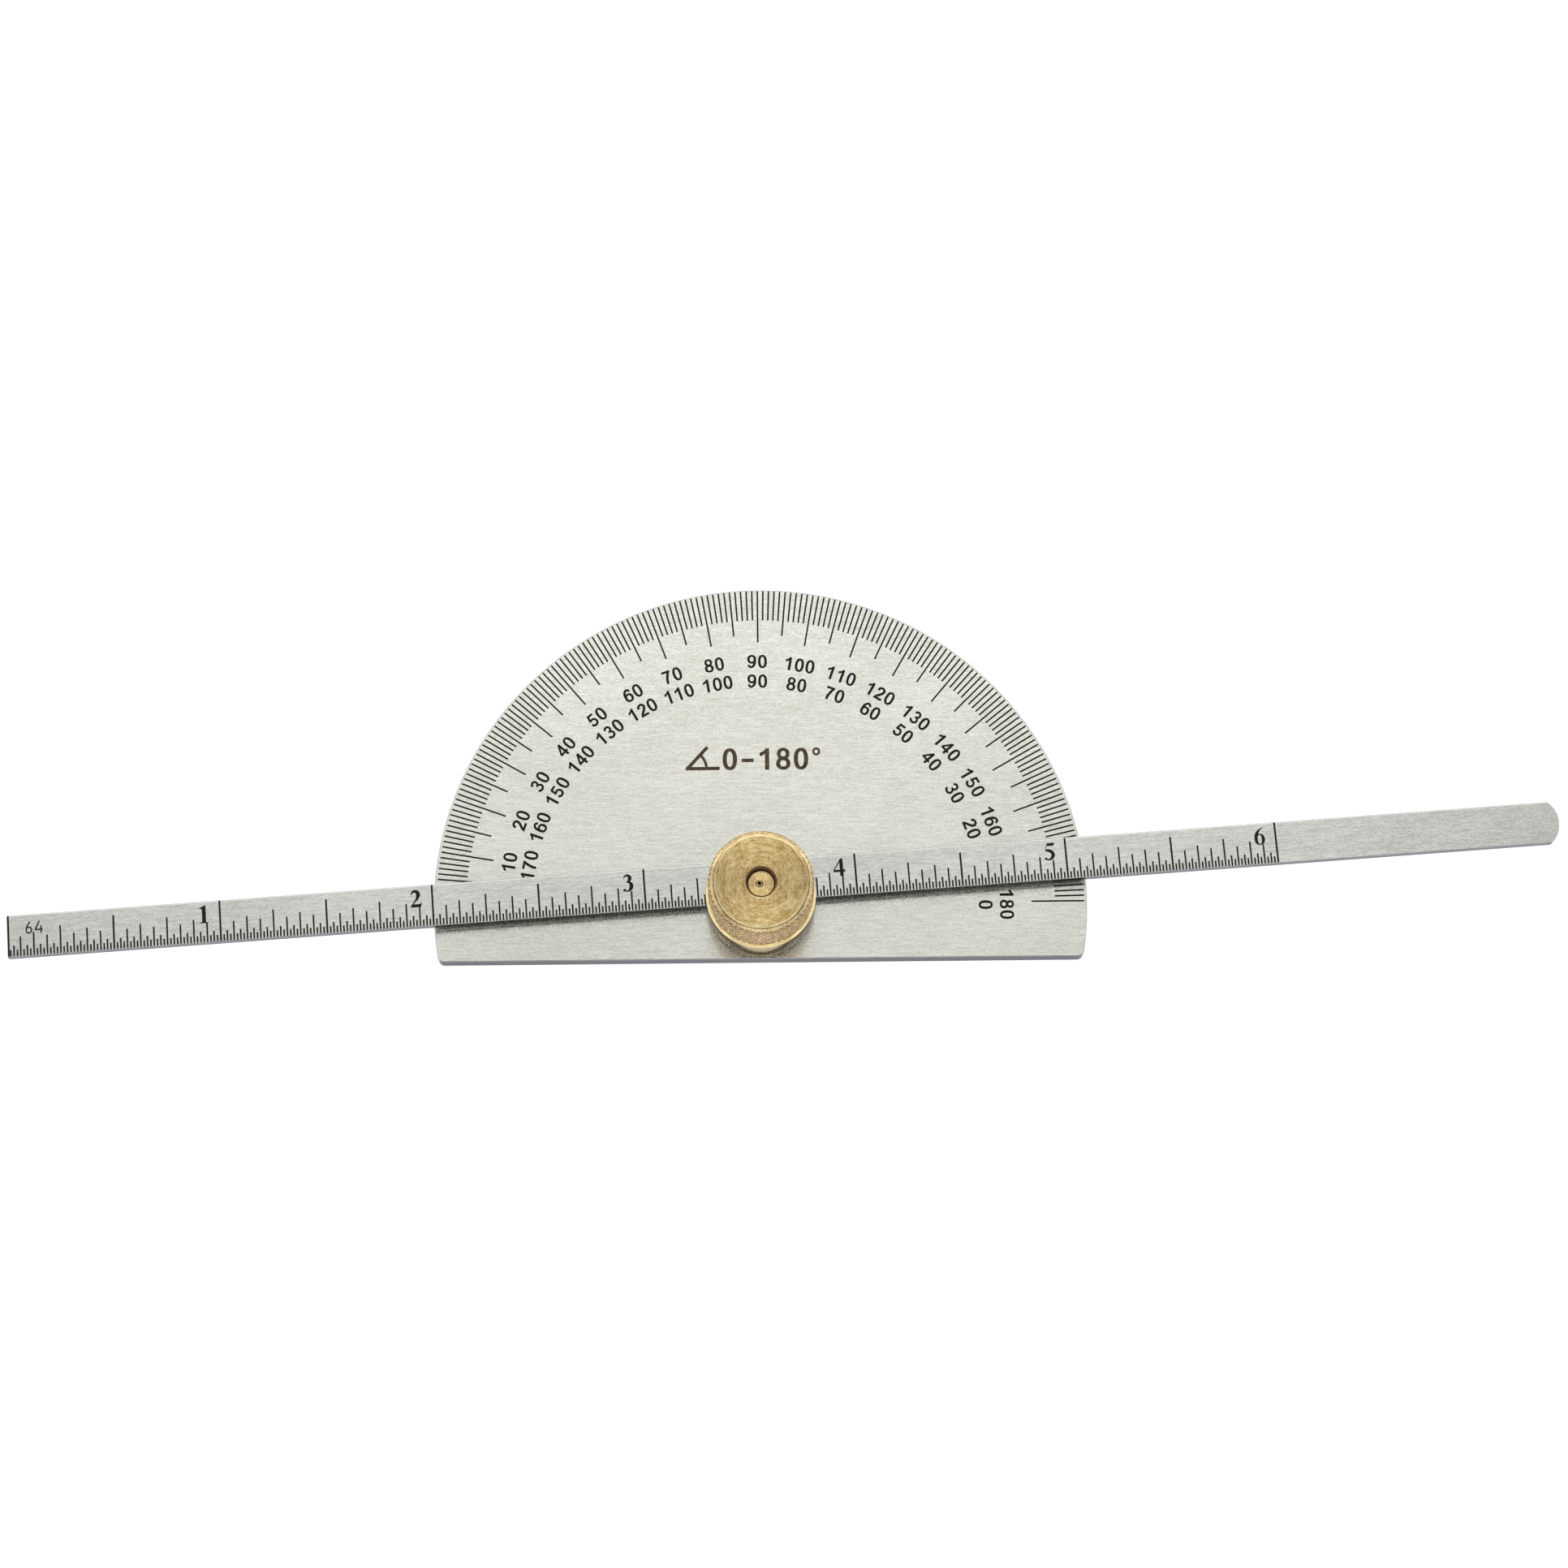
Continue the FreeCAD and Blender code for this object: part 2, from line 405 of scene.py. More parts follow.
class Shader:
    """Small helper for building one node material."""

    def __init__(self, name):
        self.material = bpy.data.materials.new(name)
        self.material.use_nodes = True
        self.tree = self.material.node_tree
        self.bsdf = self.tree.nodes["Principled BSDF"]
        coordinates = self.node("ShaderNodeTexCoord")
        self.mm = self.vector("MULTIPLY", coordinates.outputs["Object"], (1000, 1000, 1000))
        self.normal = coordinates.outputs["Normal"]

    def node(self, kind, **settings):
        made = self.tree.nodes.new(kind)
        for key, value in settings.items():
            setattr(made, key, value)
        return made

    def put(self, socket, value):
        if isinstance(value, bpy.types.NodeSocket):
            self.tree.links.new(value, socket)
        else:
            socket.default_value = value

    def vector(self, operation, a, b):
        made = self.node("ShaderNodeVectorMath", operation=operation)
        self.put(made.inputs[0], a)
        self.put(made.inputs[1], b)
        return made.outputs[0]

    def math(self, operation, a, b=0.0):
        made = self.node("ShaderNodeMath", operation=operation)
        self.put(made.inputs[0], a)
        self.put(made.inputs[1], b)
        return made.outputs[0]

    def times(self, *values):
        return reduce(lambda a, b: self.math("MULTIPLY", a, b), values)

    def weighted(self, *terms):
        """Sum of (value, weight) pairs."""
        return reduce(lambda a, b: self.math("ADD", a, b), [self.times(*term) for term in terms])

    def less(self, value, share):
        """1 minus a share of a value."""
        return self.math("SUBTRACT", 1.0, self.times(value, share))

    def length(self, vector):
        made = self.node("ShaderNodeVectorMath", operation="LENGTH")
        self.put(made.inputs[0], vector)
        return made.outputs["Value"]

    def unit(self, vector):
        made = self.node("ShaderNodeVectorMath", operation="NORMALIZE")
        self.put(made.inputs[0], vector)
        return made.outputs[0]

    def split(self, vector):
        made = self.node("ShaderNodeSeparateXYZ")
        self.put(made.inputs[0], vector)
        return made.outputs

    def join(self, x, y, z):
        made = self.node("ShaderNodeCombineXYZ")
        for socket, value in zip(made.inputs, (x, y, z)):
            self.put(socket, value)
        return made.outputs[0]

    def turned(self, vector, angle):
        made = self.node("ShaderNodeVectorRotate", rotation_type="Z_AXIS")
        self.put(made.inputs["Vector"], vector)
        made.inputs["Angle"].default_value = angle
        return made.outputs[0]

    def noise(self, vector, scale, detail=2.0, roughness=0.5):
        made = self.node("ShaderNodeTexNoise")
        self.put(made.inputs["Vector"], self.vector("MULTIPLY", vector, scale))
        made.inputs["Scale"].default_value = 1.0
        made.inputs["Detail"].default_value = detail
        made.inputs["Roughness"].default_value = roughness
        return made.outputs["Fac"]

    def span(self, value, low, high, to_low=0.0, to_high=1.0):
        made = self.node("ShaderNodeMapRange", interpolation_type="SMOOTHSTEP")
        self.put(made.inputs["Value"], value)
        for key, number in (("From Min", low), ("From Max", high), ("To Min", to_low), ("To Max", to_high)):
            made.inputs[key].default_value = number
        return made.outputs["Result"]

    def mix(self, factor, a, b):
        made = self.node("ShaderNodeMix", data_type="RGBA")
        self.put(made.inputs[0], factor)
        for socket, value in ((made.inputs[6], a), (made.inputs[7], b)):
            self.put(socket, value if isinstance(value, bpy.types.NodeSocket) else (*value, 1.0))
        return made.outputs[2]

    def bump(self, height, distance_mm):
        made = self.node("ShaderNodeBump")
        made.inputs["Distance"].default_value = distance_mm * MM
        made.inputs["Strength"].default_value = 1.0
        self.put(made.inputs["Height"], height)
        return made.outputs["Normal"]

    def straight_tangent(self, direction):
        """A direction fixed in the piece, as the shader's tangent."""
        made = self.node("ShaderNodeVectorTransform", vector_type="VECTOR", convert_from="OBJECT",
                         convert_to="WORLD")
        made.inputs[0].default_value = direction
        self.put(self.bsdf.inputs["Tangent"], made.outputs[0])

    def round_tangent(self):
        """The direction round the piece's Z axis, as the shader's tangent."""
        made = self.node("ShaderNodeTangent", direction_type="RADIAL", axis="Z")
        self.put(self.bsdf.inputs["Tangent"], made.outputs[0])

    def finish(self, colour, roughness, normal=None, metallic=1.0, anisotropic=0.0, rotation=0.0,
               grazing=1.0):
        """Fill in the shader; grazing below 1 darkens a metal's reflection at low angles."""
        self.put(self.bsdf.inputs["Base Color"], colour)
        self.put(self.bsdf.inputs["Roughness"], roughness)
        self.bsdf.inputs["Metallic"].default_value = metallic
        self.bsdf.inputs["Anisotropic"].default_value = anisotropic
        self.bsdf.inputs["Anisotropic Rotation"].default_value = rotation
        self.bsdf.inputs["Specular Tint"].default_value = (grazing, grazing, grazing, 1.0)
        if normal is not None:
            self.put(self.bsdf.inputs["Normal"], normal)
        return self.material


def linear(r, g, b):
    """sRGB 0-255 to scene linear."""
    return tuple(((c / 255 + 0.055) / 1.055) ** 2.4 if c > 10 else c / 255 / 12.92 for c in (r, g, b))


def scaled(colour, factor):
    return tuple(min(1.0, c * factor) for c in colour)


speck_colour = (0.12, 0.11, 0.10)
painted_edge_highlight = (0.93, 0.93, 0.91)
cut_edge_roughness = 0.14


def brushed_steel(name, light, dark, edge, angle, roughness, wear_and_highlight=None):
    """Sheet steel brushed along one direction, with duller cut edges whose darker colour is partly painted
    shade, a few fine specks and, at a given distance across the grain, a painted highlight band along the
    edge."""
    s = Shader(name)
    p = s.turned(s.mm, -angle)
    hair = s.noise(p, (0.75, 8.5, 2.0), 3.0, 0.7)
    streak = s.noise(p, (0.26, 3.4, 1.0), 3.0, 0.6)
    cloud = s.noise(p, (0.05, 0.09, 0.1), 2.0, 0.5)
    grain = s.noise(p, (2.4, 6.5, 2.0), 2.0, 0.7)
    scratch = s.span(s.noise(p, (0.30, 9.0, 3.0), 1.0), 0.66, 0.74)
    speck = s.span(s.noise(p, (2.6, 3.4, 1.0), 1.0), 0.80, 0.82)
    tone = s.weighted((hair, 0.42), (grain, 0.28), (streak, 0.18), (cloud, 0.12))
    colour = s.mix(s.span(tone, 0.38, 0.62), dark, light)
    colour = s.mix(s.times(scratch, 0.35), colour, scaled(light, 1.15))
    colour = s.mix(s.times(speck, 0.6), colour, speck_colour)
    # painted highlight: the face is lightened in a band along the edge at the given distance across the
    # grain
    if wear_and_highlight:
        colour = s.mix(s.span(s.split(p)[1], wear_and_highlight - 0.24, wear_and_highlight - 0.12), colour, painted_edge_highlight)
    # the sides, told from the face by the normal, were sheared and not brushed; their darker colour is
    # partly that finish and partly painted shade
    face = s.span(s.math("ABSOLUTE", s.split(s.normal)[2]), 0.55, 0.9)
    sheared = s.span(s.noise(s.mm, (0.5, 0.5, 5.0), 3.0), 0.35, 0.65)
    colour = s.mix(face, s.mix(sheared, edge, scaled(edge, 1.25)), colour)
    # small smooth lands between rougher ground
    lands = s.span(s.noise(p, (5.0, 16.0, 3.0), 1.0), 0.42, 0.58, roughness, roughness + 0.25)
    rough = s.weighted((face, lands), (s.less(face, 1.0), cut_edge_roughness))
    height = s.weighted((hair, 0.7), (grain, 0.5), (scratch, -0.3))
    s.straight_tangent((-math.sin(angle), math.cos(angle), 0.0))
    return s.finish(colour, rough, s.bump(height, 0.004), anisotropic=0.55, grazing=0.5)


pit_colour = (0.09, 0.055, 0.025)
painted_hollow_shade = (0.11, 0.06, 0.025)
painted_rim_highlight = (1.0, 0.84, 0.50)


def turned_brass(name, light, dark, roughness, grooves=0.015, rim=None, shade_inside=None, grazing=0.7):
    """Lathe-turned brass: short arcs round the axis, fine grain and pits, with painted shade in grooves and
    holes, as deep as the mesh's value for each vertex. rim=(colour, radius) gives the wall outside a radius
    a painted tone for how light falls on it, polishes its edge and paints a highlight ring there; the
    (colour, radius) pair after it paints shade on the face inside a radius."""
    s = Shader(name)
    x, y, z = s.split(s.mm)[:3]
    flat = s.join(x, y, 0.0)
    radius = s.length(flat)
    ux, uy = s.split(s.unit(flat))[:2]
    around = s.join(ux, uy, s.math("ADD", radius, z))
    groove = s.noise(around, (4.5, 4.5, 6.5), 2.0, 0.6)
    ring = s.noise(around, (0.9, 0.9, 2.2), 3.0, 0.6)
    grain = s.noise(s.mm, (4.6, 4.6, 4.6), 3.0, 0.7)
    blotch = s.noise(s.mm, (0.7, 0.7, 0.7), 4.0, 0.65)
    pit = s.span(s.noise(s.mm, (5.2, 5.2, 5.2), 1.0), 0.745, 0.775)
    hollow_shade = s.node("ShaderNodeAttribute", attribute_name="hollow_shade", attribute_type="GEOMETRY")
    tone = s.weighted((groove, 0.30), (grain, 0.28), (blotch, 0.28), (ring, 0.14))
    colour = s.mix(s.span(tone, 0.38, 0.61), dark, light)
    if rim:
        # painted tone: the upright wall outside the radius takes a colour of its own for how light falls on
        # it, lighter on the nut and darker on the collar
        painted_wall_tone, edge = rim
        upright = s.math("ABSOLUTE", s.split(s.normal)[2])
        wall = s.times(s.span(upright, 0.95, 0.84), s.span(radius, edge - 0.1, edge))
        spots = s.span(s.noise(s.mm, (3.4, 3.4, 3.4), 3.0, 0.7), 0.40, 0.60)
        colour = s.mix(wall, colour, s.mix(spots, scaled(painted_wall_tone, 0.5), painted_wall_tone))
    if shade_inside:
        # painted shade on the face inside the radius, under the nut's foot and in the rule's slot
        painted_shade_inside, shade_radius = shade_inside
        colour = s.mix(s.span(radius, shade_radius, shade_radius - 0.05), colour, painted_shade_inside)
    colour = s.mix(s.times(pit, 0.85), colour, pit_colour)
    # painted shade in grooves, threads and holes
    colour = s.mix(s.times(hollow_shade.outputs["Fac"], 0.9), colour, painted_hollow_shade)
    rough = s.math("ADD", s.times(tone, 0.3), roughness - 0.15)
    height = s.weighted((groove, 1.0), (grain, 0.15), (pit, -0.5))
    if rim:
        polished = s.times(s.span(radius, edge - 0.15, edge - 0.05), s.span(radius, edge + 0.5, edge + 0.3))
        height = s.times(s.math("SUBTRACT", height, 0.58), s.less(polished, 0.85))
        rough = s.times(rough, s.less(polished, 0.5))
        # painted highlight: a bright ring at the rim's edge
        rim_highlight = s.times(s.span(radius, edge - 0.24, edge - 0.12), s.span(radius, edge + 0.06, edge))
        colour = s.mix(s.times(rim_highlight, 0.7), colour, painted_rim_highlight)
    s.round_tangent()
    return s.finish(colour, rough, s.bump(height, grooves), anisotropic=0.9, rotation=0.25,
                    grazing=grazing)


def etched(name, colour, wear_and_highlight):
    """Matt etched filling, uneven at a fine scale."""
    s = Shader(name)
    grain = s.noise(s.mm, (3.5, 3.5, 3.5), 3.0, 0.6)
    s.bsdf.inputs["Specular IOR Level"].default_value = 0.25
    mixed = s.mix(s.span(grain, 0.40, 0.72), colour, wear_and_highlight)
    rough = s.math("ADD", s.times(grain, 0.2), 0.5)
    return s.finish(mixed, rough, s.bump(grain, 0.004), metallic=0.0)


def pale_floor(name):
    """Plain white paper, lit from within so that it stays white."""
    s = Shader(name)
    grain = s.noise(s.mm, (0.02, 0.02, 0.02), 2.0)
    tone = s.mix(grain, (0.44, 0.44, 0.44), (0.46, 0.46, 0.46))
    s.bsdf.inputs["Emission Color"].default_value = (1.0, 1.0, 1.0, 1.0)
    s.bsdf.inputs["Emission Strength"].default_value = 0.83
    return s.finish(tone, 0.9, metallic=0.0)


# the third colour of each steel is for its sides, darker partly by their sheared finish and partly as
# painted shade
head_steel = brushed_steel("head_steel", linear(240, 241, 233), linear(212, 212, 202),
                           linear(122, 123, 134), 0.0, 0.10)
rule_steel = brushed_steel("rule_steel", linear(232, 234, 228), linear(196, 198, 193),
                           linear(150, 152, 162), rule_angle, 0.14, wear_and_highlight=rule_back)
# each rim colour is a painted tone for how light falls on the piece's wall: lighter on the nut, darker on
# the collar
nut_brass = turned_brass("nut_brass", linear(255, 234, 176), linear(182, 140, 74), 0.36,
                         grooves=0.06, rim=(linear(244, 214, 168), nut_high.x - 0.7), grazing=0.8)
# the collar's dark inner colour (0.28, 0.14, 0.03) is painted shade under the nut
collar_brass = turned_brass("collar_brass", linear(254, 236, 180), linear(210, 172, 108), 0.20,
                            rim=(linear(196, 168, 134), collar_high.y - 0.02),
                            shade_inside=((0.28, 0.14, 0.03), 6.12), grazing=0.5)
stud_brass = turned_brass("stud_brass", linear(252, 230, 170), linear(200, 164, 104), 0.24)
washer_brass = turned_brass("washer_brass", linear(228, 200, 136), linear(184, 152, 92), 0.30)
etched_black = etched("etched_black", (0.005, 0.005, 0.005), (0.018, 0.017, 0.016))
etched_brown = etched("etched_brown", linear(70, 58, 42), linear(112, 96, 74))


# ---------------------------------------------------------------- carried-over steel and washer

def carry(node, material):
    """Give a CAD node its finish."""
    obj = frame["nodes"][node]
    obj.data.materials.clear()
    obj.data.materials.append(material)


carry("head_plate", head_steel)
carry("rule_blade", rule_steel)
carry("rule_washer", washer_brass)


# ---------------------------------------------------------------- degree scale

sans = make_font(bold_sans())
serif = make_font(bold_serif())
engraved = make_font(thin_sans())

tick_width = 0.2
tick_start = {10: 32.58, 5: 33.5, 1: 35.4}
tick_end, tick_end_rise = 38.95, 0.2
scale_centre = Vector((0.0, -0.25))
figure_height, figure_advance = 1.68, 0.777


def out_to(angle, radius):
    """Point on a line from the scale centre at which the distance from the pivot is radius."""
    d = Vector((math.cos(angle), math.sin(angle)))
    k = scale_centre.dot(d)
    return scale_centre + d * (-k + math.sqrt(k * k + radius ** 2 - scale_centre.length_squared))


def degree_ticks():
    """A mark at every degree, longer at the fives and the tens."""
    shapes = []
    for degree in range(0, 181):
        step = 10 if degree % 10 == 0 else 5 if degree % 5 == 0 else 1
        a = math.radians(degree)
        side = Vector((-math.sin(a), math.cos(a))) * tick_width / 2
        p, q = out_to(a, tick_start[step]), out_to(a, tick_end + tick_end_rise * math.sin(a))
        shapes.append(([tuple(v) for v in (p - side, q - side, q + side, p + side)], [(0, 1, 2, 3)]))
    return inlay("degree_ticks", shapes, head_face, "head", etched_black)


def degree_row(name, radius, drop, value_at):
    """Figures round the scale, tops outward, every ten degrees. The row's centre lies drop to the left
    of the pivot."""
    lead, droop = 0.12, 0.75
    shapes = []
    for degree in range(0, 181, 10):
        a = math.radians(degree)
        r = radius - drop * math.cos(a)
        # the row is set a little anticlockwise, and its right-hand end droops
        at = a + (lead - droop * max(math.cos(a), 0) ** 4) / r
        text = line_of_text(sans, str(value_at(degree)), figure_height, figure_advance)
        shapes += turned_to(text, (r * math.cos(at), r * math.sin(at)), a - math.pi / 2)
    return inlay(name, shapes, head_face, "head", etched_black)


def angle_mark():
    """A plain angle sign and the range of the scale."""
    size, line = 2.7, 0.42
    leg, upper_leg, opening, bow_radius = 3.9, 3.9 * 0.93, 48, 2.3
    vertex = Vector((-8.3, -size / 2))
    lift = Vector((0, line / 2))
    text = turned_to(line_of_text(sans, "0-180o", size, 0.80), (1.9, 0), 0.0)
    sign = []
    for degrees, length in ((0, leg), (opening, upper_leg)):
        d = Vector((math.cos(math.radians(degrees)), math.sin(math.radians(degrees))))
        n = Vector((-d.y, d.x)) * line / 2
        a, b = vertex - d * line / 2, vertex + d * length
        sign.append([tuple(v + lift) for v in (a - n, b - n, b + n, a + n)])
    corner = vertex + lift
    bow = stroke(arc_nodes(corner.x, corner.y, bow_radius, bow_radius, 0, opening, line * 0.8), False)
    shapes = text + [merged(sign + bow)]
    return inlay("angle_mark", turned_to(shapes, (-0.4, 17.8), 0.0), head_face, "head",
                 etched_brown)


degree_ticks()
degree_row("degree_numbers_outer", 30.15, 0.53, lambda d: 180 - d)
degree_row("degree_numbers_inner", 27.65, 0.58, lambda d: d)
angle_mark()


# ---------------------------------------------------------------- inch scale on the rule

inch = 25.4
# height of the first mark whose step, in sixty-fourths, divides its place
tick_heights = ((64, 5.1), (32, 4.2), (16, 3.45), (8, 2.9), (4, 2.43), (2, 1.37), (1, 0.87))


def on_rule(shapes):
    """From rule coordinates (distance from the zero end, height above the graduated edge)."""
    def place(s, h):
        p = along * (rule_zero + s) + across * (rule_edge + h)
        return (p.x, p.y)
    return [([place(s, h) for s, h in points], faces) for points, faces in shapes]


def inch_ticks():
    """Sixty-fourths of an inch, the whole inches right across the rule."""
    shapes = []
    width, margin = 0.2, 0.07
    for n in range(0, 6 * 64 + 1):
        step, height = next((s, h) for s, h in tick_heights if n % s == 0)
        s = n * inch / 64 if n else margin + width / 2
        top = min(height, rule_back - rule_edge - margin)
        w = width * (1.15 if step >= 32 else 1.0) / 2
        shapes.append(([(s - w, margin), (s + w, margin), (s + w, top), (s - w, top)], [(0, 1, 2, 3)]))
    return inlay("inch_ticks", on_rule(shapes), rule_face, "rule", etched_black)


def inch_numbers():
    shapes = []
    for n in range(1, 7):
        text = line_of_text(serif, str(n), 2.15, 0.7)
        shapes += turned_to(text, (n * inch - 1.93, 3.48), 0.0)
    return inlay("inch_numbers", on_rule(shapes), rule_face, "rule", etched_black)


def sixty_fourths_number():
    shapes = turned_to(line_of_text(engraved, "64", 1.5, 0.78), (3.25, 3.45), 0.0)
    return inlay("sixty_fourths_number", on_rule(shapes), rule_face, "rule", etched_black)


inch_ticks()
inch_numbers()
sixty_fourths_number()


# ---------------------------------------------------------------- knurled nut

knurl_starts = 56
knurl_pitch = 1.2
knurl_depth = 0.25
knurl_cells = 8
crest_cut = 0.78
nut_columns = knurl_starts * knurl_cells
nut_radius = nut_high.x
face_radius = 5.67
bore_radius = 1.65
bore_columns = 2 * knurl_starts


def knurl_height(angle, z, crests):
    """0 in a groove to 1 on a flattened crest of the diamond pattern."""
    turn = knurl_starts * angle / (2 * math.pi)
    u, v = turn + z / knurl_pitch, turn - z / knurl_pitch
    du = abs((u % 1.0) - 0.5) * 2
    dv = abs((v % 1.0) - 0.5) * 2
    diamond = (math.floor(u + 0.5) % 997) * 31 + (math.floor(v + 0.5) % 991) * 17
    return min(du, dv, crest_cut) / crest_cut * crests[diamond % len(crests)]


def nut_profile():
    """Rows (r, z) up the outside of the nut: foot, knurled wall, chamfer and flat face."""
    foot, foot_height, rim_height = 5.85, 0.45, 0.35
    brow = face_radius + 0.11
    z0, z1 = nut_low.z, nut_high.z
    low, high = z0 + foot_height, z1 - rim_height
    levels = int(round((high - low) / (knurl_pitch / knurl_cells)))
    rows = [(foot - 0.05, z0), (foot, z0 + 0.03)]
    rows += [(foot + (nut_radius - foot) * t, z0 + 0.03 + (foot_height - 0.03) * t)
             for t in (0.2, 0.4, 0.6, 0.8)]
    rows += [(nut_radius, low + i * (high - low) / levels) for i in range(levels + 1)]
    rows += [(nut_radius + (brow - nut_radius) * t, high + (rim_height - 0.049) * t)
             for t in (0.08, 0.16, 0.24, 0.32, 0.42, 0.55, 0.8, 1.0)]
    rows += [(brow - 0.06, z1 - 0.027), (brow - 0.14, z1 - 0.008), (brow - 0.20, z1)]
    return rows + [(brow - 0.24, z1), (4.6, z1), (3.4, z1)]


def nut_outside(crests):
    """Vertices, painted-shade values (how deep in a groove) and faces of the nut's outside, split along the
    knurl's ridges.
    """
    rows = nut_profile()
    verts, hollow_shade, faces = [], [], []
    for r, z in rows:
        for k in range(nut_columns):
            a = 2 * math.pi * k / nut_columns
            h = knurl_height(a, z - nut_low.z, crests)
            q = min(r, nut_radius - knurl_depth * (1 - h))
            verts.append((q * math.cos(a), q * math.sin(a), z))
            # painted shade in the knurl's grooves, fading out on the crests
            hollow_shade.append(max(0.0, 1.0 - h * 1.6) if r > nut_radius - knurl_depth else 0.0)

    def reach(i, j):
        return math.hypot(*verts[i][:2]) + math.hypot(*verts[j][:2])

    for i, (r, _) in enumerate(rows[:-1]):
        for k in range(nut_columns):
            a, b = i * nut_columns + k, i * nut_columns + (k + 1) % nut_columns
            c, d = b + nut_columns, a + nut_columns
            if i == 0 or r <= face_radius + 0.01:
                faces.append((a, b, c, d))
            elif reach(a, c) < reach(b, d):
                faces += [(a, b, c), (a, c, d)]
            else:
                faces += [(a, b, d), (b, c, d)]
    return verts, hollow_shade, faces


def nut_bore():
    """Vertices and painted-shade values of the nut's mouth and threaded bore, from the face down."""
    mouth = 1.95
    z0, z1 = nut_low.z, nut_high.z
    mouth_depth = mouth - bore_radius
    step = thread_pitch / thread_rows
    lip = [(2.7, z1), (mouth + 0.03, z1), (mouth - 0.03, z1 - 0.012), (mouth - 0.1, z1 - 0.05),
           (bore_radius + 0.05, z1 - 0.14)]
    turns = [(bore_radius, z1 - mouth_depth - i * step)
             for i in range(int((z1 - mouth_depth - z0 - 0.1) / step))]
    rows = lip + turns + [(bore_radius, z0)]
    verts, hollow_shade = [], []
    for n, (r, z) in enumerate(rows):
        for k in range(bore_columns):
            a = 2 * math.pi * k / bore_columns
            q = r
            if len(lip) < n < len(rows) - 1:
                q += 0.3 * thread_form(a, z, 0.2) * min(1, (n - len(lip)) / 4)
            verts.append((q * math.cos(a), q * math.sin(a), z))
            # painted shade down the bore, below the mouth's lip
            hollow_shade.append(0.0 if n < 3 else 1.0)
    return verts, hollow_shade


def joined_rings(fine_first, coarse_first, upward):
    """Faces between a ring of the nut's outside and a ring of its bore, which has fewer columns."""
    ratio = nut_columns // bore_columns
    half = ratio // 2
    faces = []
    for k in range(bore_columns):
        a, b = coarse_first + k, coarse_first + (k + 1) % bore_columns
        fine = [fine_first + (k * ratio + i) % nut_columns for i in range(ratio + 1)]
        fan = [(fine[i], fine[i + 1], a if i < half else b) for i in range(ratio)]
        fan.append((fine[half], b, a))
        faces += fan if upward else [(q, p, r) for p, q, r in fan]
    return faces


def knurled_nut():
    """Clamping nut, whose diamonds are not all cut to the same height."""
    rng = random.Random(7)
    crests = [rng.uniform(0.78, 1.0) for _ in range(613)]
    verts, hollow_shade, faces = nut_outside(crests)
    bore_first = len(verts)
    rim_first = bore_first - nut_columns
    bore_verts, bore_hollow_shade = nut_bore()
    verts += bore_verts
    hollow_shade += bore_hollow_shade
    foot_first = len(verts) - bore_columns
    faces += joined_rings(rim_first, bore_first, True)
    for start in range(bore_first, foot_first, bore_columns):
        for k in range(bore_columns):
            a, b = start + k, start + (k + 1) % bore_columns
            faces.append((a, b, b + bore_columns, a + bore_columns))
    faces += joined_rings(0, foot_first, False)
    obj = add_object("nut_knurled", verts, faces, 28)
    give_hollow(obj, hollow_shade)
    finish_piece(obj, nut_brass, "nut", "knurled_nut")


# ---------------------------------------------------------------- slotted collar and swivel stud

def slotted_collar():
    """Ring with a pocket over the washer, and a slot right across it for the rule."""
    radius, z0, z1 = collar_high.y, collar_low.z, collar_high.z
    shank, pocket, ledge = 3.05, 5.8, 0.42
    shelf = washer_top + 0.15
    outer = rounded([(pocket, z0), (radius, z0), (radius, z1 - ledge * 0.58), (radius - ledge, z1),
                     (shank, z1)], 0.08)
    inner = [(shank, z1), (shank, shelf), (pocket, shelf), (pocket, z0)]
    body = lathe("collar_slotted", outer[1:-1] + inner, 224)
    slot = box_cutter(14, rule_edge - 0.1, rule_back + 0.1, -1, rule_face + 0.01, rule_angle)
    cut_away(body, slot, 0.05)
    finish_piece(body, collar_brass, "collar", "slotted_collar")


stud_core = 1.6
centre_hole = 0.215
burr_reach = 0.6


def stud_outline(shank_top):
    """Flange, shank, threaded core, and an end with a centre-drilled hole in a raised burr."""
    z0, z1 = stud_low.z, stud_high.z
    flange, shank = 4.5, 3.0
    flange_top = z0 + 0.9
    step = thread_pitch / thread_rows
    outline = [(0, z0), (flange - 0.1, z0), (flange, z0 + 0.1), (flange, flange_top - 0.05),
               (flange - 0.05, flange_top), (shank, flange_top), (shank, shank_top - 0.12),
               (shank - 0.12, shank_top), (stud_core, shank_top)]
    outline += [(stud_core, shank_top + (i + 1) * step) for i in range(int((z1 - 0.3 - shank_top) / step))]
    outline += [(stud_core - 0.02, z1 - 0.12), (stud_core - 0.04, z1 - 0.02), (stud_core - 0.07, z1),
                (stud_core - 0.12, z1), (0.55, z1), (0.50, z1)]
    burr = [(0.42, z1 + 0.02), (0.36, z1 + 0.10), (0.30, z1 + 0.14), (0.24, z1 + 0.11)]
    hole = [(0.20, z1 - 0.02), (0.18, z1 - 0.3), (0.12, z1 - 0.55), (0, z1 - 0.6)]
    return outline + burr + hole


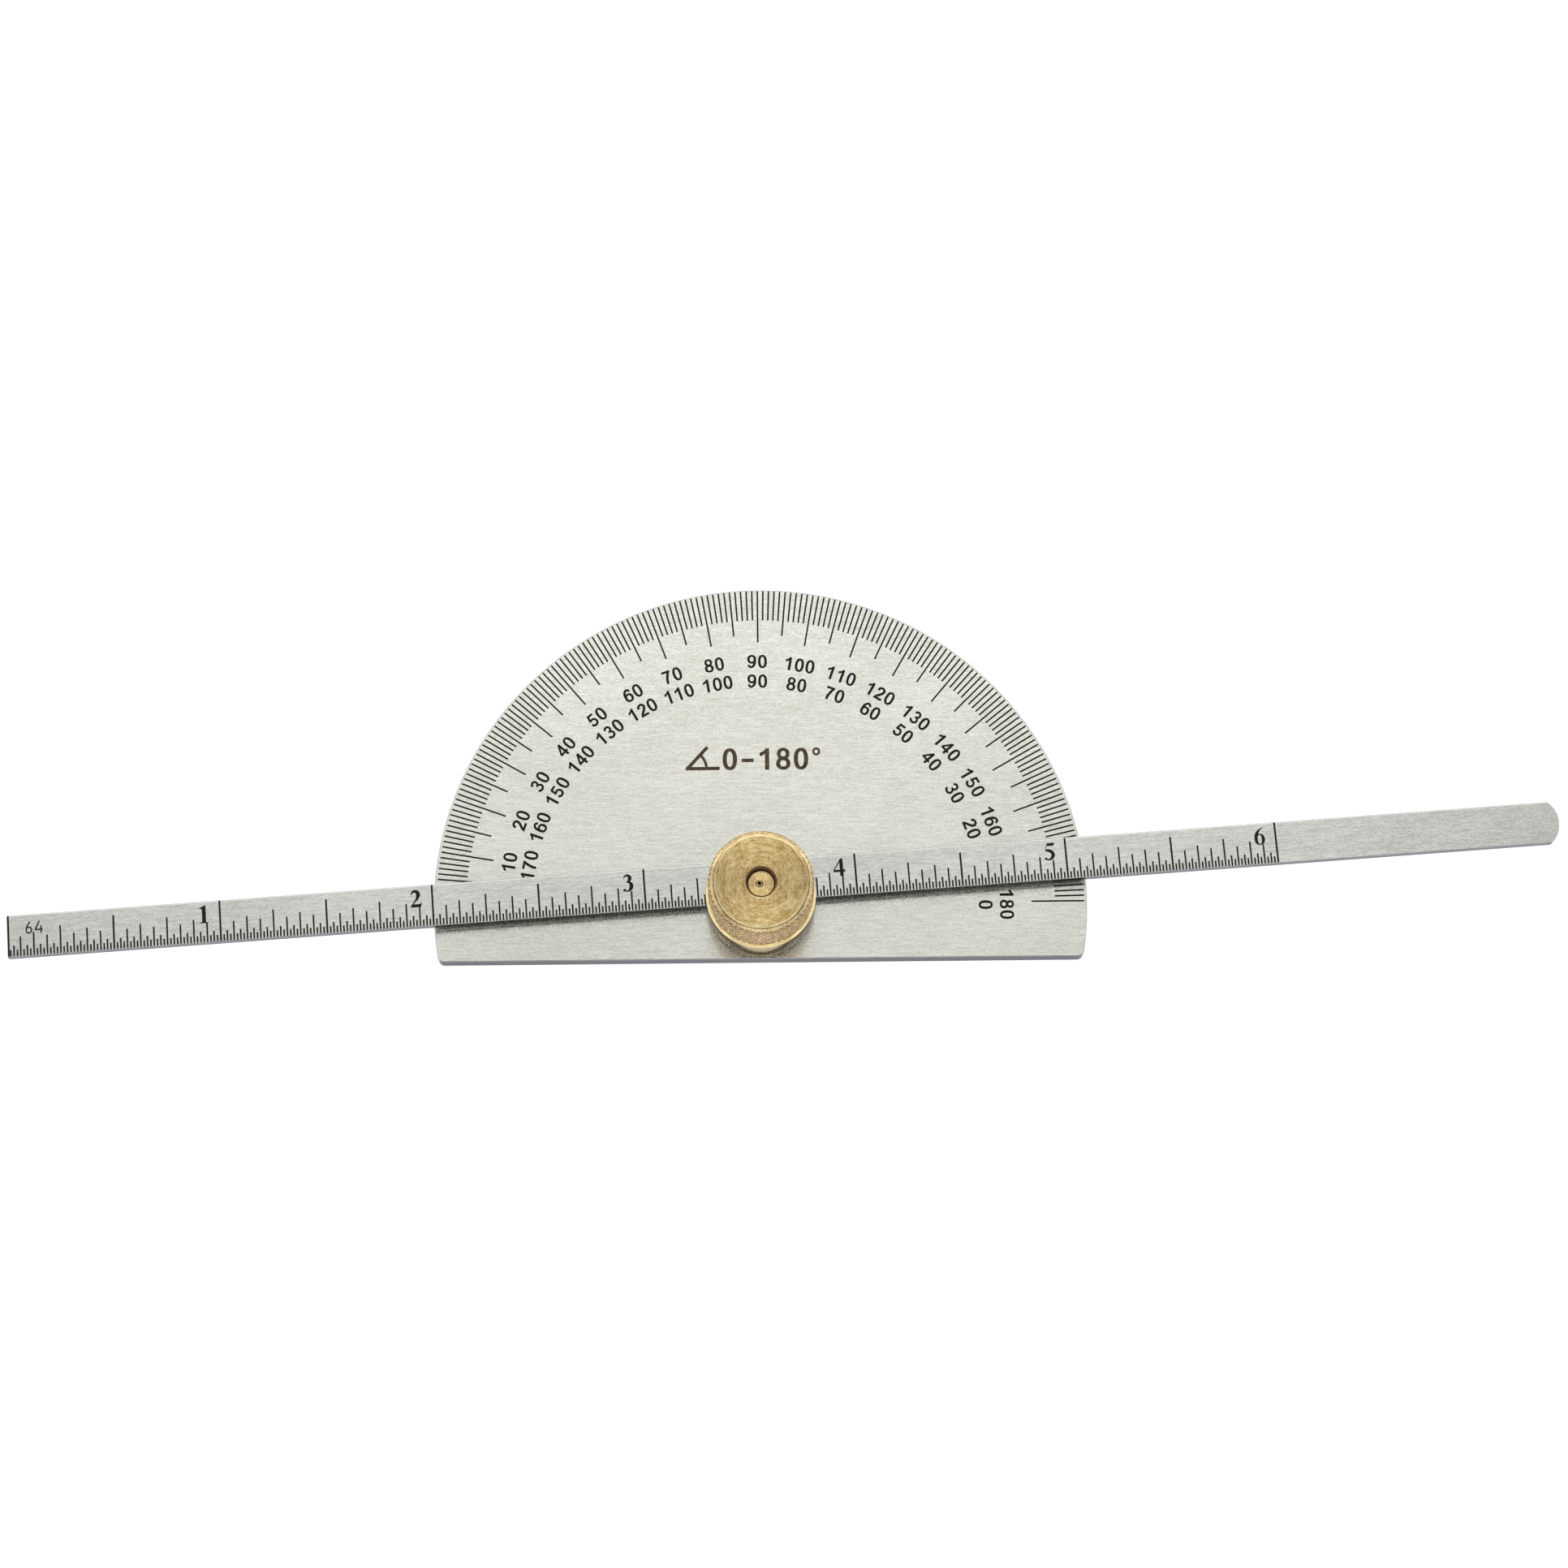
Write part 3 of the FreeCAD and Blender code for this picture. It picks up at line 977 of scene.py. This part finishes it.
def swivel_stud():
    """Stud that turns in the head, with a notch that the rule lies in."""
    z1 = stud_high.z
    shank_top = head_face + 3.3
    hole_off_centre = 0.2

    def with_thread(a, r, z):
        if r != stud_core or z < shank_top + thread_pitch / thread_rows:
            return r
        fade = min(1.0, (z1 - 0.2 - z) / 0.5)
        return r + 0.29 * fade * thread_form(a, z, 0.25)

    body = lathe("stud_threaded", stud_outline(shank_top), 96, 32, with_thread)
    notch = box_cutter(12, rule_edge - 0.05, 12, washer_top - 0.01, rule_face + 0.35, rule_angle)
    cut_away(body, notch, 0.0, 32)
    hollow_shade = []
    for vertex in body.data.vertices:
        r, z = vertex.co.xy.length / MM, vertex.co.z / MM
        at_end = z > z1 - 0.7 and r < burr_reach
        threaded = stud_core - 0.11 < r < 2.0
        # painted shade on the threaded core and in the centre hole
        hollow_shade.append(1.0 if threaded or at_end and r < centre_hole else 0.0)
        if at_end:
            vertex.co.x -= hole_off_centre * MM
    give_hollow(body, hollow_shade)
    finish_piece(body, stud_brass, "swivel", "swivel_stud")


knurled_nut()
slotted_collar()
swivel_stud()


# ---------------------------------------------------------------- stage: floor, light, camera

def stage_floor():
    """Floor a hair below the tool's back."""
    half, z = 2500.0, -0.05
    obj = add_object("floor", [(-half, -half, z), (half, -half, z), (half, half, z), (-half, half, z)],
                     [(0, 1, 2, 3)])
    obj.data.materials.append(pale_floor("floor_white"))


def studio_world():
    """Soft studio surround, dim towards the front, whose brightness is a formula of the direction:
    a panel overhead, a brighter one behind it, one at each side, and a pale ring low down."""
    world = bpy.data.worlds.new("studio")
    bpy.context.scene.world = world
    world.use_nodes = True
    tree = world.node_tree
    tree.nodes.clear()

    def op(kind, a, b=0.0):
        made = tree.nodes.new("ShaderNodeMath")
        made.operation = kind
        for socket, value in zip(made.inputs, (a, b)):
            if isinstance(value, bpy.types.NodeSocket):
                tree.links.new(value, socket)
            else:
                socket.default_value = value
        return made.outputs[0]

    def times(*values):
        return reduce(lambda a, b: op("MULTIPLY", a, b), values)

    def add(*values):
        return reduce(lambda a, b: op("ADD", a, b), values)

    def ease(value, low, high):
        """0 at low to 1 at high, or the other way round if low is the greater."""
        made = tree.nodes.new("ShaderNodeMapRange")
        made.interpolation_type = "SMOOTHSTEP"
        tree.links.new(value, made.inputs["Value"])
        made.inputs["From Min"].default_value = low
        made.inputs["From Max"].default_value = high
        return made.outputs["Result"]

    coordinates = tree.nodes.new("ShaderNodeTexCoord")
    split = tree.nodes.new("ShaderNodeSeparateXYZ")
    tree.links.new(coordinates.outputs["Generated"], split.inputs[0])
    x, y, z = split.outputs
    wide = op("ABSOLUTE", x)
    in_panel = times(ease(wide, 0.28, 0.21), ease(y, -0.10, -0.01), ease(y, 0.58, 0.44), ease(z, 0.1, 0.3))
    overhead = times(in_panel, add(0.48, times(ease(y, 0.19, 0.32), 0.66), times(ease(y, 0.15, 0.07), 0.6)))
    sides = add(times(ease(wide, 0.52, 0.64), 0.55), times(ease(wide, 0.70, 0.78), 0.4))
    back = times(ease(y, 0.42, 0.56), 0.95)
    high_front = times(ease(y, -0.35, -0.50), ease(z, 0.42, 0.62))
    gap = times(ease(wide, 0.22, 0.32), ease(wide, 0.62, 0.52), -0.11)
    level = add(overhead, sides, back, high_front, gap, 0.13)
    level = op("MAXIMUM", level, times(ease(z, 0.50, 0.34), 0.65))
    # the camera and its stand are a dark patch in the surround
    toward_camera = add(times(y, -0.23), times(z, 0.973))
    patch = ease(toward_camera, math.cos(math.radians(14)), math.cos(math.radians(8)))
    level = times(level, op("SUBTRACT", 1.0, times(patch, 0.88)))
    background = tree.nodes.new("ShaderNodeBackground")
    background.inputs["Color"].default_value = (1.0, 0.995, 0.98, 1.0)
    tree.links.new(level, background.inputs["Strength"])
    output = tree.nodes.new("ShaderNodeOutputWorld")
    tree.links.new(background.outputs[0], output.inputs["Surface"])


def studio_camera():
    """Looking down at the graduated face from the datum edge's side. The offset is from the pivot on
    the head's face to the lens, in the camera's own axes."""
    tilt, yaw, roll = math.radians(14.98), math.radians(0.61), math.radians(0.71)
    offset = Vector((2.8, 14.16, 488.05))
    turn = (Matrix.Rotation(-roll, 3, "Z") @ Matrix.Rotation(-yaw, 3, "Y") @ Matrix.Rotation(tilt, 3, "X"))
    data = bpy.data.cameras.new("camera")
    data.sensor_width = 36.0
    data.lens = 93.17
    data.clip_start = 0.01
    data.clip_end = 20.0
    camera = bpy.data.objects.new("camera", data)
    bpy.context.scene.collection.objects.link(camera)
    place = (turn @ offset + Vector((0, 0, head_face))) * MM
    camera.matrix_world = Matrix.Translation(place) @ turn.to_4x4()
    bpy.context.scene.camera = camera


stage_floor()
studio_world()
studio_camera()
bpy.context.scene.view_settings.view_transform = "Standard"
